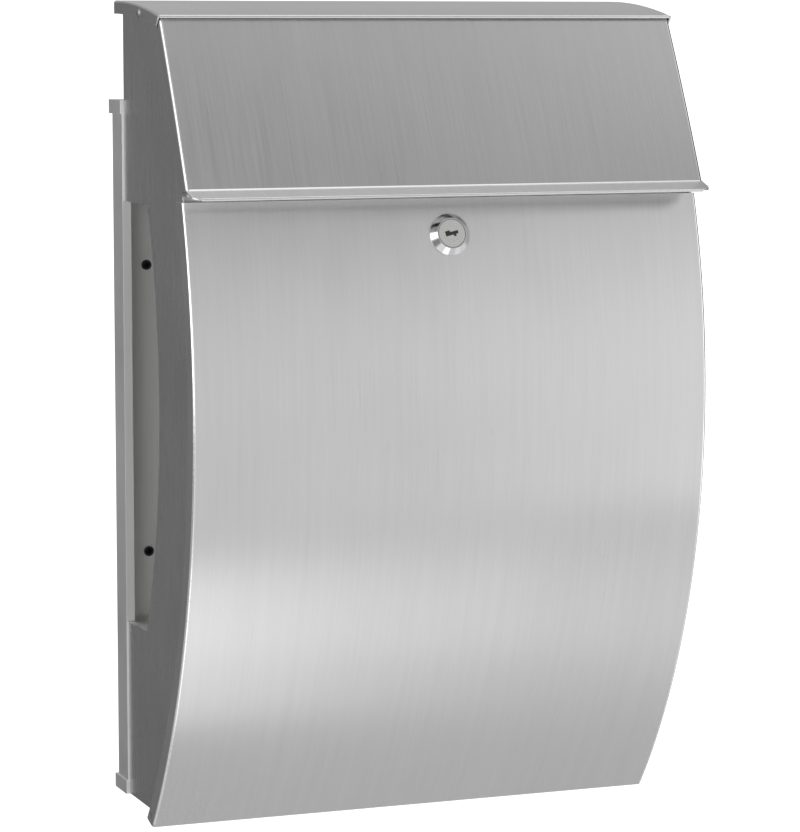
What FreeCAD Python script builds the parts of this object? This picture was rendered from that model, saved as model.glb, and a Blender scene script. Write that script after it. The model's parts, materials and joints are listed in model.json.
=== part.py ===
import FreeCAD, Part
import math
import os
from types import SimpleNamespace

import Sketcher

# Wall mounted mailbox of folded stainless sheet: a curved front door over a letter
# compartment, a hinged hood flap over the mail slot, a fixed roof and, behind the letters,
# a newspaper tube that is open through both sides.  Millimetres, +Z up, the front faces -Y.
# The origin is the middle of the four wall screw holes, on the wall plane.

DIMENSIONS = {
    # Overall
    "width": 365.0,  # across the door
    "depth": 185.7,  # wall to the most forward point of the door
    "door_height": 428.0,  # bottom edge to top edge of the door
    "door_radius": 468.0,  # curve of the door's outer face
    "belly_up": 289.0,  # most forward point above the door's bottom edge
    # Sheets and gaps
    "sheet": 1.0,
    "pan_sheet": 1.4,
    "side_gap": 0.5,  # door flange to side panel
    "edge_gap": 1.5,  # door skin to the side panels' front edges
    "run_clear": 0.08,  # radial clearance of a running fit
    # Door
    "door_flange": 12.0,  # depth of the door's side flanges
    "door_tail_up": 4.0,  # rear lower corner of the flange above the bottom edge
    "door_corner": 1.5,  # lower corner radius of the door
    "door_hem": 8.0,  # height of the folded hem on the bottom edge
    "door_return": 9.0,  # depth of the door's top return
    "edge_bend": 1.6,  # outer bend radius of the folded edges
    "hinge_up": 8.0,  # door pivot above the bottom edge
    "hinge_inset": 7.3,  # door pivot to the door's outer face, square to it
    "hinge_pin": 2.0,  # radius
    "hinge_ear": 4.5,  # radius
    "hinge_head": 3.4,  # radius of the pin's inner head
    "hinge_head_height": 2.0,
    # Side panels
    "body_up": 11.0,  # underside of the cabinet above the door's bottom edge
    "return_width": 12.0,  # inward return along the front edge
    "sill_gap": 5.0,  # door top to the top of the slot sill
    "rear_tab": 10.0,  # how far a side panel reaches into the rear pan
    "tab_play": 0.3,  # end of that tab to the pan's flange
    "return_inset": 6.0,  # front return short of the panel's ends
    "notch_corner": 5.0,
    # Letter compartment and newspaper tube
    "letter_space": 80.0,  # door face to divider
    "paper_floor_up": 132.0,  # floor of the newspaper tube above the door's bottom edge
    "paper_ceiling_down": 5.5,  # ceiling of the tube below the door's top edge
    "shelf_flange": 8.0,
    "tray_height": 10.0,
    "tray_back": 10.0,  # floor tray behind the door pivot
    # Flap and roof
    "flap_run": 55.1,  # horizontal run of the flap's face
    "flap_rise": 107.0,  # vertical rise of the flap's face
    "flap_crown": 1600.0,  # slight outward curve of the flap's face
    "flap_extra": 0.5,  # flap half width beyond the door's
    "flap_flange": 15.0,  # depth of the side flange at the lip
    "flap_top": 3.2,  # face above the pivot's foot point
    "flap_bend": 2.0,  # outer radius of the folds between face and side flanges
    "flap_pin_back": 5.5,  # pivot behind the outer face
    "flap_pin": 1.5,  # radius
    "flap_pin_head": 3.0,  # radius of the pin's inner head
    "flap_head_height": 1.5,
    "flap_ear": 3.9,  # radius of the side panel round the pivot
    "flap_knuckle": 4.5,  # radius of the flap's flange round the pivot
    "lip_gap": 8.3,  # lip fold above the door's top edge
    "lip_overhang": 11.0,  # lip fold in front of the door's face
    "lip_length": 15.0,
    "lip_slope": 18.0,  # degrees below the horizontal
    "lip_hem": 5.0,
    "lip_corner": 6.0,
    "roof_radius": 520.0,
    "roof_rear": 19.0,  # rear edge of the roof in front of the wall
    "roof_extra": 2.0,  # roof half width beyond the door's
    "roof_band": 9.0,
    "nose_reach": 5.6,  # roof's front edge ahead of the flap pivot
    "nose_top": 7.2,  # roof's front edge above the flap pivot
    "nose_height": 1.8,
    "nose_band": 5.0,  # length of the band's slanted front end
    "band_corner": 3.0,  # radius of the band's lower front corner
    "rivet_behind": 37.6,  # roof rivet behind the flap pivot
    "rivet_down": 5.5,  # roof rivet below the roof's outer face
    "rivet_shank": 2.0,
    "rivet_head": 3.5,
    "rivet_crown": 1.2,  # height of the outer head
    "rivet_upset": 1.0,  # height of the inner head
    # Rear pan and rails
    "pan_depth": 28.0,  # front edge of the pan's flanges in front of the wall
    "pan_stand_off": 5.0,  # back plate in front of the wall
    "pan_return": 4.6,  # inward return of the pan's flanges beside the newspaper opening
    "pan_bottom_up": 9.0,  # pan flange above the cabinet's underside
    "pan_top_up": 53.5,  # pan flange above the door's top edge
    "rail_height": 9.5,
    "rail_bend": 1.3,  # outer radius of the rail's folds
    "rail_over": 1.1,  # rail end outboard of the pan
    # Wall screws
    "screw_inset_side": 21.4,  # screw to the side panel's outer face
    "screw_inset_top": 45.5,  # screw below the tube's ceiling
    "screw_inset_bottom": 45.0,  # screw above the tube's floor
    "spacer_bore": 2.25,
    "spacer_neck": 3.0,
    "spacer_lip": 3.5,
    "spacer_lip_height": 0.8,
    "spacer_foot": 8.0,
    # Lock
    "lock_down": 24.0,  # lock below the door's top edge
    "collar_base": 14.0,
    "collar_face": 10.3,
    "collar_height": 4.7,
    "collar_rim": 0.8,
    "barrel": 9.5,  # outer radius
    "barrel_length": 18.0,  # behind the door's outer face
    "barrel_hole": 0.15,  # clearance in the door
    "plug_face": 9.4,
    "plug_face_depth": 2.0,
    "plug_core": 6.5,
    "plug_drop": 0.1,  # face below the collar's
    "plug_tail": 1.3,  # core beyond the barrel
    "tang": 3.0,  # half width of the square tang
    "key_length": 9.2,
    "key_width": 2.2,
    "key_step": 1.3,
    "key_depth": 12.0,
    "key_tilt": 14.0,  # degrees
    "nut_flats": 24.0,
    "nut_height": 4.0,
    "nut_seat": 0.25,  # lets a flat nut sit on the curved skin
    "cam_length": 30.0,
    "cam_half": 7.0,
    "cam_sheet": 2.0,
    "cam_fit": 0.05,
    "cam_screw": 2.0,
    "cam_screw_head": 3.8,
    "cam_screw_height": 2.2,
    "cam_screw_depth": 9.0,
    "washer": 5.0,
    "washer_height": 0.8,
    "strike_over": 9.0,  # strike's lower edge above the lock's axis
    "strike_gap": 1.0,  # door flange depth line to the strike
    # Bumpers
    "bumper_gap": 0.3,  # bumper to the closed door's skin
    "bumper_length": 12.0,
    "bumper_width": 8.0,
    "bumper_up": 60.0,  # lower door bumper above the door's bottom edge
    "bumper_down": 30.0,  # upper door bumper below the door's top edge
    "stop_width": 10.0,
    "stop_inset": 35.0,  # flap bumper to the side panel
    "stop_height": 5.0,
    "stop_reach": 2.6,  # flap bumper ahead of the sill's front edge
    "sill_setback": 5.1,  # sill's front edge behind the lip fold
}

doc = FreeCAD.newDocument("mailbox")


class Size:
    """A value together with the sheet expression that gives it."""

    def __init__(self, text, value):
        self.text = text
        self.value = value

    def joined(self, sign, other, value):
        return Size(f"({self.text} {sign} {other.text})", value)

    def __add__(self, other):
        other = as_size(other)
        return self.joined("+", other, self.value + other.value)

    def __sub__(self, other):
        other = as_size(other)
        return self.joined("-", other, self.value - other.value)

    def __mul__(self, other):
        other = as_size(other)
        return self.joined("*", other, self.value * other.value)

    def __truediv__(self, other):
        other = as_size(other)
        return self.joined("/", other, self.value / other.value)

    def __neg__(self):
        return Size(f"(0 - {self.text})", -self.value)


def as_size(number):
    if isinstance(number, Size):
        return number
    return Size(f"{float(number)}", float(number))


def root(size):
    return Size(f"sqrt({size.text})", math.sqrt(size.value))


def sine(degrees):
    return Size(f"sin({degrees.text} * 1 deg)", math.sin(math.radians(degrees.value)))


def cosine(degrees):
    return Size(f"cos({degrees.text} * 1 deg)", math.cos(math.radians(degrees.value)))


def make_sheet():
    sheet = doc.addObject("Spreadsheet::Sheet", "dims")
    for row, (alias, value) in enumerate(DIMENSIONS.items(), start=1):
        sheet.set(f"A{row}", alias)
        sheet.set(f"B{row}", str(value))
        sheet.setAlias(f"B{row}", alias)
    doc.recompute()
    return SimpleNamespace(
        **{alias: Size(f"dims.{alias}", value) for alias, value in DIMENSIONS.items()}
    )


# --- FreeCAD helpers ---------------------------------------------------------------------

parts = []


def keep(item, label):
    """Mark a finished sub-part, whose label names its file."""
    item.Label = label
    parts.append(item)
    return item


def new_body(name):
    return doc.addObject("PartDesign::Body", name)


def origin_plane(body, role):
    return next(item for item in body.Origin.OriginFeatures if item.Role == role)


def sketch_on(body, role, offset=None):
    sketch = body.newObject("Sketcher::SketchObject", body.Name + "_sketch")
    sketch.AttachmentSupport = [(origin_plane(body, role), "")]
    sketch.MapMode = "FlatFace"
    if offset is not None:
        sketch.setExpression(".AttachmentOffset.Base.z", offset.text)
    return sketch


def tie_point(sketch, side, end, point):
    """Fix one end of a side at a point measured from the sketch's origin."""
    for kind, size in zip(("DistanceX", "DistanceY"), point):
        index = sketch.addConstraint(Sketcher.Constraint(kind, side, end, size.value))
        sketch.setExpression(f"Constraints[{index}]", size.text)


def tie_radius(sketch, side, radius):
    index = sketch.addConstraint(Sketcher.Constraint("Radius", side, radius.value))
    sketch.setExpression(f"Constraints[{index}]", radius.text)


def vector(point):
    return FreeCAD.Vector(point[0].value, point[1].value, 0)


def arc_between(start, end, radius, turn):
    """The minor arc from start to end; turn is 1 anticlockwise and -1 clockwise."""
    half = (end - start) * 0.5
    across = FreeCAD.Vector(-half.y, half.x, 0).normalize() * turn
    rise = math.sqrt(max(radius**2 - half.Length**2, 0))
    centre = start + half + across * rise
    first, last = (start, end) if turn > 0 else (end, start)
    angles = [math.atan2(p.y - centre.y, p.x - centre.x) for p in (first, last)]
    circle = Part.Circle(centre, FreeCAD.Vector(0, 0, 1), radius)
    return Part.ArcOfCircle(circle, angles[0], angles[1])


def outline(sketch, points, arcs=None):
    """Draw a closed outline.  arcs gives (radius, turn) by the index of the side's start."""
    arcs = arcs or {}
    base = sketch.GeometryCount
    count = len(points)
    ends = []
    for index, point in enumerate(points):
        start = vector(point)
        end = vector(points[(index + 1) % count])
        if index in arcs:
            radius, turn = arcs[index]
            side = sketch.addGeometry(arc_between(start, end, radius.value, turn))
            ends.append((1, 2) if turn > 0 else (2, 1))
        else:
            side = sketch.addGeometry(Part.LineSegment(start, end))
            ends.append((1, 2))
    for index, point in enumerate(points):
        after = (index + 1) % count
        sketch.addConstraint(
            Sketcher.Constraint(
                "Coincident", base + index, ends[index][1], base + after, ends[after][0]
            )
        )
        tie_point(sketch, base + index, ends[index][0], point)
    for index, (radius, turn) in arcs.items():
        tie_radius(sketch, base + index, radius)
    return sketch


def circle(sketch, centre, radius):
    ring = Part.Circle(vector(centre), FreeCAD.Vector(0, 0, 1), radius.value)
    side = sketch.addGeometry(ring)
    tie_point(sketch, side, 3, centre)
    tie_radius(sketch, side, radius)
    return sketch


def pad(body, sketch, length, both_ways=False):
    feature = body.newObject("PartDesign::Pad", body.Name + "_pad")
    feature.Profile = sketch
    feature.setExpression("Length", length.text)
    if both_ways:
        feature.SideType = "Symmetric"
    return feature


def pocket(body, sketch, length, both_ways=True):
    doc.recompute()
    before = body.Shape.Volume
    feature = body.newObject("PartDesign::Pocket", body.Name + "_pocket")
    feature.Profile = sketch
    feature.setExpression("Length", length.text)
    if both_ways:
        feature.SideType = "Symmetric"
    doc.recompute()
    if body.Shape.Volume > before - 0.01:
        raise RuntimeError(f"{feature.Name} cuts nothing")
    return feature


def mirror(body, features, role="YZ_Plane"):
    feature = body.newObject("PartDesign::Mirrored", body.Name + "_mirror")
    feature.Originals = features
    feature.MirrorPlane = (origin_plane(body, role), [""])
    body.Tip = feature
    return feature


def revolve(body, sketch):
    feature = body.newObject("PartDesign::Revolution", body.Name + "_turn")
    feature.Profile = sketch
    feature.ReferenceAxis = (sketch, ["V_Axis"])
    feature.Angle = 360.0
    return feature


def fillet(body, feature, names, radius):
    item = body.newObject("PartDesign::Fillet", body.Name + "_fillet")
    item.Base = (feature, names)
    item.setExpression("Radius", radius.text)
    return item


def edges_where(feature, test):
    doc.recompute()
    edges = feature.Shape.Edges
    return [f"Edge{number}" for number, edge in enumerate(edges, start=1) if test(edge)]


def edges_along_x(feature, points):
    """The edges that run along X through the given points of the YZ plane."""

    def test(edge):
        box = edge.BoundBox
        if box.YLength > 0.01 or box.ZLength > 0.01:
            return False
        return any(
            math.hypot(box.YMin - y.value, box.ZMin - z.value) < 0.05 for y, z in points
        )

    return edges_where(feature, test)


def turned(name, profile):
    """A body turned about its own Z axis from a profile of (radius, height) points."""
    body = new_body(name)
    sketch = sketch_on(body, "XZ_Plane")
    outline(sketch, profile)
    revolve(body, sketch)
    return body


def put(item, x, y, z, axis=None, angle=None):
    """Place an item, with an optional turn about an axis."""
    if axis is not None:
        item.Placement.Rotation = FreeCAD.Rotation(axis, as_size(angle).value)
        item.setExpression(".Placement.Rotation.Angle", f"{as_size(angle).text} * 1 deg")
    for letter, size in zip("xyz", (x, y, z)):
        item.setExpression(f".Placement.Base.{letter}", as_size(size).text)
    return item


def group(label, items):
    """One node of separate, identical solids."""
    compound = doc.addObject("Part::Compound", label)
    compound.Links = items
    return keep(compound, label)


# --- Shared places -----------------------------------------------------------------------

d = make_sheet()
ACROSS = FreeCAD.Vector(1, 0, 0)
ALONG_WALL = FreeCAD.Vector(0, 1, 0)
ZERO = as_size(0)

half_width = d.width / 2
side_half = half_width - d.sheet - d.side_gap
inner_half = side_half - d.sheet
flap_half = half_width + d.flap_extra
roof_half = half_width + d.roof_extra
pan_half = side_half + d.pan_sheet

tube_height = d.door_height - d.paper_ceiling_down - d.paper_floor_up
screw_half = (tube_height - d.screw_inset_top - d.screw_inset_bottom) / 2
screw_x = side_half - d.screw_inset_side
door_bottom = -(d.paper_floor_up + d.screw_inset_bottom + screw_half)
door_top = door_bottom + d.door_height
cabinet_bottom = door_bottom + d.body_up
paper_floor = door_bottom + d.paper_floor_up
paper_ceiling = door_top - d.paper_ceiling_down

arc_y = d.door_radius - d.depth
arc_z = door_bottom + d.belly_up
skin_radius = d.door_radius - d.sheet
edge_radius = skin_radius - d.edge_gap
divider_radius = d.door_radius - d.letter_space


def front(z, radius):
    """Y at height z on a curve concentric with the door's outer face."""
    rise = z - arc_z
    return arc_y - root(radius * radius - rise * rise)


hinge_z = door_bottom + d.hinge_up
hinge_y = front(hinge_z, d.door_radius - d.hinge_inset)

lip_y = front(door_top, d.door_radius) - d.lip_overhang
lip_z = door_top + d.lip_gap
face_length = root(d.flap_run * d.flap_run + d.flap_rise * d.flap_rise)
foot_y = lip_y + d.flap_run
foot_z = lip_z + d.flap_rise


def on_flap(down, inward):
    """A point measured down the flap's face from the pivot's foot point and inward from it."""
    down = as_size(down)
    inward = as_size(inward)
    return (
        foot_y - down * d.flap_run / face_length + inward * d.flap_rise / face_length,
        foot_z - down * d.flap_rise / face_length - inward * d.flap_run / face_length,
    )


pin_y, pin_z = on_flap(0, d.flap_pin_back)

nose_y = pin_y - d.nose_reach
nose_z = pin_z + d.nose_top
roof_back = -d.roof_rear
roof_reach = roof_back - nose_y
roof_centre = nose_z - root(d.roof_radius * d.roof_radius - roof_reach * roof_reach)


def roof_at(y, radius):
    """Height at y on a curve concentric with the roof's outer face."""
    reach = y - roof_back
    return roof_centre + root(radius * radius - reach * reach)


rivet_y = pin_y + d.rivet_behind
rivet_z = roof_at(rivet_y, d.roof_radius) - d.rivet_down

pan_front = -d.pan_depth
pan_back = -d.pan_stand_off
pan_face = pan_back - d.pan_sheet
pan_low = cabinet_bottom + d.pan_bottom_up
pan_high = door_top + d.pan_top_up

sill_z = door_top + d.sill_gap
sill_front = lip_y + d.sill_setback
strike_y = front(door_top, d.door_radius - d.door_flange) + d.strike_gap

lock_z = door_top - d.lock_down
lock_y = front(lock_z, d.door_radius)
lock_rise = (lock_z - arc_z) / d.door_radius
lock_tilt = Size(f"asin({lock_rise.text}) / 1 deg", math.degrees(math.asin(lock_rise.value)))
strike_low = lock_z + d.strike_over


# --- Cabinet -----------------------------------------------------------------------------


def side_panel_points():
    ear = d.hinge_ear
    inset = d.flap_pin_back - d.flap_ear
    tab = pan_front + d.rear_tab
    play = d.tab_play
    step = door_top + d.sill_gap - d.sheet
    return [
        (pan_front, cabinet_bottom),
        (pan_front, pan_low + play),
        (tab, pan_low + play),
        (tab, paper_floor),
        (front(paper_floor, divider_radius), paper_floor),
        (front(paper_ceiling, divider_radius), paper_ceiling),
        (tab, paper_ceiling),
        (tab, pan_high - play),
        (pan_front, pan_high - play),
        (pan_front, roof_at(pan_front, d.roof_radius - d.sheet)),
        (pin_y + d.flap_ear, roof_at(pin_y + d.flap_ear, d.roof_radius - d.sheet)),
        (pin_y + d.flap_ear, pin_z),
        on_flap(0, inset),
        on_flap(face_length - 3, inset),
        (sill_front, step),
        (front(step, edge_radius), step),
        (front(cabinet_bottom, edge_radius), cabinet_bottom),
        (hinge_y - ear, hinge_z),
        (hinge_y, hinge_z - ear),
        (hinge_y + ear, hinge_z),
        (hinge_y + ear, cabinet_bottom),
    ]


def side_panel(label, side):
    """Flat side sheet with the newspaper opening, pivot ears and inward front returns."""
    body = new_body(label)
    outer = side_half * side
    start = side_half - d.sheet if side > 0 else outer
    sketch = sketch_on(body, "YZ_Plane", start)
    arcs = {
        4: (divider_radius, -1),
        9: (d.roof_radius - d.sheet, 1),
        11: (d.flap_ear, 1),
        15: (edge_radius, 1),
        17: (d.hinge_ear, 1),
        18: (d.hinge_ear, 1),
    }
    points = side_panel_points()
    outline(sketch, points, arcs)
    circle(sketch, (hinge_y, hinge_z), d.hinge_pin)
    circle(sketch, (pin_y, pin_z), d.flap_pin)
    circle(sketch, (rivet_y, rivet_z), d.rivet_shank)
    plate = pad(body, sketch, d.sheet)
    corners = edges_along_x(plate, [points[4], points[5]])
    fillet(body, plate, corners, d.notch_corner)
    start = side_half - d.return_width if side > 0 else outer
    pad(body, front_return(sketch_on(body, "YZ_Plane", start)), d.return_width)
    pad(body, slot_return(sketch_on(body, "YZ_Plane", start)), d.return_width)
    return keep(body, label)


def front_return(sketch):
    """Strip that follows the door's curve behind its skin."""
    low = cabinet_bottom + d.return_inset
    high = door_top - d.return_inset
    rear_radius = edge_radius - d.sheet
    points = [
        (front(low, rear_radius), low),
        (front(high, rear_radius), high),
        (front(high, edge_radius), high),
        (front(low, edge_radius), low),
    ]
    return outline(sketch, points, {0: (rear_radius, -1), 2: (edge_radius, 1)})


def slot_return(sketch):
    """Strip that follows the flap beside the mail slot."""
    inset = d.flap_pin_back - d.flap_ear
    top = d.flap_pin_back + d.flap_pin
    bottom = face_length - d.stop_height - d.sheet
    points = [
        on_flap(top, inset),
        on_flap(bottom, inset),
        on_flap(bottom, inset + d.sheet),
        on_flap(top, inset + d.sheet),
    ]
    return outline(sketch, points)


def floor_tray():
    """Bottom of the letter compartment, with upturned edges."""
    body = new_body("floor_tray")
    near = hinge_y + d.tray_back
    rim = cabinet_bottom + d.tray_height
    block = [
        (near, cabinet_bottom),
        (pan_front, cabinet_bottom),
        (pan_front, rim),
        (near, rim),
    ]
    pad(body, outline(sketch_on(body, "YZ_Plane"), block), inner_half * 2, True)
    low = cabinet_bottom + d.sheet
    high = rim + d.tray_height
    hollow = [
        (near + d.sheet, low),
        (pan_front - d.sheet, low),
        (pan_front - d.sheet, high),
        (near + d.sheet, high),
    ]
    sketch = outline(sketch_on(body, "YZ_Plane"), hollow)
    pocket(body, sketch, (inner_half - d.sheet) * 2)
    return keep(body, "floor_tray")


def sheet_part(label, points, arcs=None, half=None):
    """A folded sheet of one profile, centred on X."""
    body = new_body(label)
    sketch = outline(sketch_on(body, "YZ_Plane"), points, arcs)
    pad(body, sketch, (half or inner_half) * 2, True)
    return keep(body, label)


def newspaper_tube():
    """Curved divider between letters and newspaper, with the tube's floor and ceiling."""
    letter_face = divider_radius + d.sheet
    sheet_part(
        "newspaper_divider",
        [
            (front(paper_floor, divider_radius), paper_floor),
            (front(paper_ceiling, divider_radius), paper_ceiling),
            (front(paper_ceiling, letter_face), paper_ceiling),
            (front(paper_floor, letter_face), paper_floor),
        ],
        {0: (divider_radius, -1), 2: (letter_face, 1)},
    )
    under = paper_floor - d.sheet
    sheet_part(
        "newspaper_floor",
        [
            (front(paper_floor, letter_face), paper_floor),
            (front(paper_floor, letter_face), under),
            (pan_face - d.sheet, under),
            (pan_face - d.sheet, under - d.shelf_flange),
            (pan_face, under - d.shelf_flange),
            (pan_face, paper_floor),
        ],
    )
    over = paper_ceiling + d.sheet
    sheet_part(
        "newspaper_ceiling",
        [
            (front(paper_ceiling, letter_face), over),
            (front(paper_ceiling, letter_face), paper_ceiling),
            (pan_face, paper_ceiling),
            (pan_face, over + d.shelf_flange),
            (pan_face - d.sheet, over + d.shelf_flange),
            (pan_face - d.sheet, over),
        ],
    )


def upper_back_panel():
    """Closes the cabinet above the newspaper tube, standing on its ceiling."""
    low = paper_ceiling + d.sheet
    near = pan_front - d.sheet
    top = roof_at(near, d.roof_radius - d.sheet)
    toe = near - d.shelf_flange
    sheet_part(
        "upper_back_panel",
        [
            (pan_front, low),
            (pan_front, top),
            (near, top),
            (near, low + d.sheet),
            (toe, low + d.sheet),
            (toe, low),
        ],
    )


def slot_rail():
    """Sill of the mail slot, folded down behind the door as the lock's strike."""
    behind = strike_y + d.sheet
    under = sill_z - d.sheet
    sheet_part(
        "slot_rail",
        [
            (sill_front, under),
            (strike_y, under),
            (strike_y, strike_low),
            (behind, strike_low),
            (behind, sill_z),
            (sill_front, sill_z),
        ],
    )


def rear_pan():
    """Tray that hangs on the wall spacers: back plate and two side flanges, which turn
    inward beside the newspaper opening."""
    body = new_body("rear_pan")
    block = [
        (pan_front, pan_low),
        (pan_back, pan_low),
        (pan_back, pan_high),
        (pan_front, pan_high),
    ]
    pad(body, outline(sketch_on(body, "YZ_Plane"), block), pan_half * 2, True)
    ahead = pan_front - d.pan_sheet
    low = pan_low - d.pan_sheet
    high = pan_high + d.pan_sheet
    hollow = [(ahead, low), (pan_face, low), (pan_face, high), (ahead, high)]
    pocket(body, outline(sketch_on(body, "YZ_Plane"), hollow), side_half * 2)
    tongue = d.rail_height - d.pan_sheet
    plate = [
        (pan_face, pan_low - tongue),
        (pan_back, pan_low - tongue),
        (pan_back, pan_high + tongue),
        (pan_face, pan_high + tongue),
    ]
    pad(body, outline(sketch_on(body, "YZ_Plane"), plate), side_half * 2, True)
    inner = pan_front + d.pan_sheet
    low = paper_floor + d.tab_play
    high = paper_ceiling - d.tab_play
    strip = [(pan_front, low), (inner, low), (inner, high), (pan_front, high)]
    for start in (-side_half, side_half - d.pan_return):
        pad(body, outline(sketch_on(body, "YZ_Plane", start), strip), d.pan_return)
    sketch = sketch_on(body, "XZ_Plane")
    for x in (-screw_x, screw_x):
        for z in (-screw_half, screw_half):
            circle(sketch, (x, z), d.spacer_neck)
    pocket(body, sketch, d.pan_depth)
    return keep(body, "rear_pan")


def rail(label, shut, mouth):
    """Channel across the wall side of the pan, shut at one height and open at the other."""
    body = new_body(label)
    sheet = d.pan_sheet
    inward = 1 if mouth.value > shut.value else -1
    block = [(pan_front, shut), (ZERO, shut), (ZERO, mouth), (pan_front, mouth)]
    half = pan_half + d.rail_over
    solid = pad(body, outline(sketch_on(body, "YZ_Plane"), block), half * 2, True)
    fillet(body, solid, edges_along_x(solid, [block[0]]), d.rail_bend)
    floor = shut + sheet * inward
    beyond = mouth + sheet * inward
    hollow = [
        (pan_front + sheet, floor),
        (-sheet, floor),
        (-sheet, beyond),
        (pan_front + sheet, beyond),
    ]
    pocket(body, outline(sketch_on(body, "YZ_Plane"), hollow), (half - sheet) * 2)
    return keep(body, label)


def wall_spacers():
    """Plastic bushes that carry the pan off the wall; the screws pass through them."""
    lip = d.pan_stand_off + d.pan_sheet + d.spacer_lip_height
    plate = d.pan_stand_off + d.pan_sheet
    profile = [
        (d.spacer_bore, ZERO),
        (d.spacer_foot, ZERO),
        (d.spacer_foot, d.pan_stand_off),
        (d.spacer_neck, d.pan_stand_off),
        (d.spacer_neck, plate),
        (d.spacer_lip, plate),
        (d.spacer_lip, lip),
        (d.spacer_bore, lip),
    ]
    items = []
    for x in (-screw_x, screw_x):
        for z in (-screw_half, screw_half):
            spacer = turned("wall_spacer", profile)
            items.append(put(spacer, x, ZERO, z, ACROSS, 90))
    group("wall_spacers", items)


# --- Roof --------------------------------------------------------------------------------


def roof_cover():
    """Curved lid with a narrow band on the sides and back and a short nose in front."""
    body = new_body("roof_cover")
    band_radius = d.roof_radius - d.roof_band
    near = nose_y + d.sheet
    band_y = near + d.nose_band
    corner = (band_y, roof_at(band_y, band_radius))
    block = [
        (roof_back, roof_at(roof_back, band_radius)),
        (roof_back, roof_at(roof_back, d.roof_radius)),
        (nose_y, nose_z),
        (nose_y, nose_z - d.nose_height),
        (near, nose_z - d.nose_height),
        corner,
    ]
    arcs = {1: (d.roof_radius, 1), 5: (band_radius, -1)}
    lid = pad(body, outline(sketch_on(body, "YZ_Plane"), block, arcs), roof_half * 2, True)
    fillet(body, lid, edges_along_x(lid, [corner]), d.band_corner)
    inner_radius = d.roof_radius - d.sheet
    far = roof_back - d.sheet
    low = nose_z - d.roof_band * 3
    hollow = [
        (far, low),
        (far, roof_at(far, inner_radius)),
        (near, roof_at(near, inner_radius)),
        (near, low),
    ]
    sketch = outline(sketch_on(body, "YZ_Plane"), hollow, {1: (inner_radius, 1)})
    pocket(body, sketch, (roof_half - d.sheet) * 2)
    sketch = circle(sketch_on(body, "YZ_Plane"), (rivet_y, rivet_z), d.rivet_shank)
    cut = pocket(body, sketch, (roof_half + d.sheet) * 2)
    crest = roof_at(roof_back, d.roof_radius)
    bends = edges_where(cut, lambda edge: is_roof_edge(edge, crest.value))
    fillet(body, cut, bends, d.edge_bend)
    return keep(body, "roof_cover")


def is_roof_edge(edge, crest):
    """The outer edges where the roof's top meets its nose, sides and back."""
    box = edge.BoundBox
    if box.XLength > roof_half.value * 2 - 0.01:
        at_back = math.hypot(box.YMin - roof_back.value, box.ZMin - crest)
        at_nose = math.hypot(box.YMin - nose_y.value, box.ZMin - nose_z.value)
        return min(at_back, at_nose) < 0.05
    outside = abs(abs(box.XMin) - roof_half.value) < 0.01 and box.XLength < 0.01
    return outside and box.YLength > 50 and box.ZMax > crest - 0.05


def roof_rivets():
    """One shouldered rivet per side, through the roof's band into the side panel."""
    grip = roof_half - d.sheet - side_half
    back = d.sheet + d.rivet_upset
    outside = grip + d.sheet + d.rivet_crown
    profile = [
        (ZERO, -back),
        (d.rivet_head, -back),
        (d.rivet_head, -d.sheet),
        (d.rivet_shank, -d.sheet),
        (d.rivet_shank, ZERO),
        (d.rivet_head, ZERO),
        (d.rivet_head, grip),
        (d.rivet_shank, grip),
        (d.rivet_shank, grip + d.sheet),
        (d.rivet_head, grip + d.sheet),
        (d.rivet_shank, outside),
        (ZERO, outside),
    ]
    items = []
    for side in (-1, 1):
        rivet = turned("roof_rivet", profile)
        items.append(put(rivet, side_half * side, rivet_y, rivet_z, ALONG_WALL, 90 * side))
    group("roof_rivets", items)


# --- Flap --------------------------------------------------------------------------------


def on_lip(out, under):
    """A point measured out along the lip's upper face and square down from it."""
    out = as_size(out)
    under = as_size(under)
    along_y = -cosine(d.lip_slope)
    along_z = -sine(d.lip_slope)
    return (
        lip_y + along_y * out - along_z * under,
        lip_z + along_z * out + along_y * under,
    )


def flap_sheet_outline(sketch):
    """Face, fold and lip with its hem, as one folded sheet."""
    normal_y = d.flap_rise / face_length
    normal_z = -d.flap_run / face_length
    below_y = sine(d.lip_slope)
    below_z = -cosine(d.lip_slope)
    spread = normal_y * below_z - normal_z * below_y
    inner_corner = (
        lip_y + d.sheet * (below_z - normal_z) / spread,
        lip_z + d.sheet * (normal_y - below_y) / spread,
    )
    double = d.sheet * 2
    tip = d.lip_length - d.sheet
    points = [
        on_flap(-d.flap_top, ZERO),
        (lip_y, lip_z),
        on_lip(tip, ZERO),
        on_lip(d.lip_length, d.sheet),
        on_lip(tip, double),
        on_lip(d.lip_length - d.lip_hem, double),
        on_lip(d.lip_length - d.lip_hem, d.sheet),
        inner_corner,
        on_flap(-d.flap_top, d.sheet),
    ]
    arcs = {
        0: (d.flap_crown, 1),
        2: (d.sheet, 1),
        3: (d.sheet, 1),
        7: (d.flap_crown - d.sheet, -1),
    }
    return outline(sketch, points, arcs)


def flap_side_outline(sketch):
    """Side flange, rounded over the pivot, with the pivot's running hole."""
    knuckle = d.flap_knuckle
    points = [
        on_flap(-d.flap_top, ZERO),
        (lip_y, lip_z),
        on_flap(face_length - d.stop_height, d.flap_flange),
        on_flap(0, d.flap_pin_back + knuckle),
        on_flap(-knuckle, d.flap_pin_back),
        on_flap(0, d.flap_pin_back - knuckle),
    ]
    arcs = {0: (d.flap_crown, 1), 3: (knuckle, 1), 4: (knuckle, 1)}
    outline(sketch, points, arcs)
    return circle(sketch, (pin_y, pin_z), d.flap_pin + d.run_clear)


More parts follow.
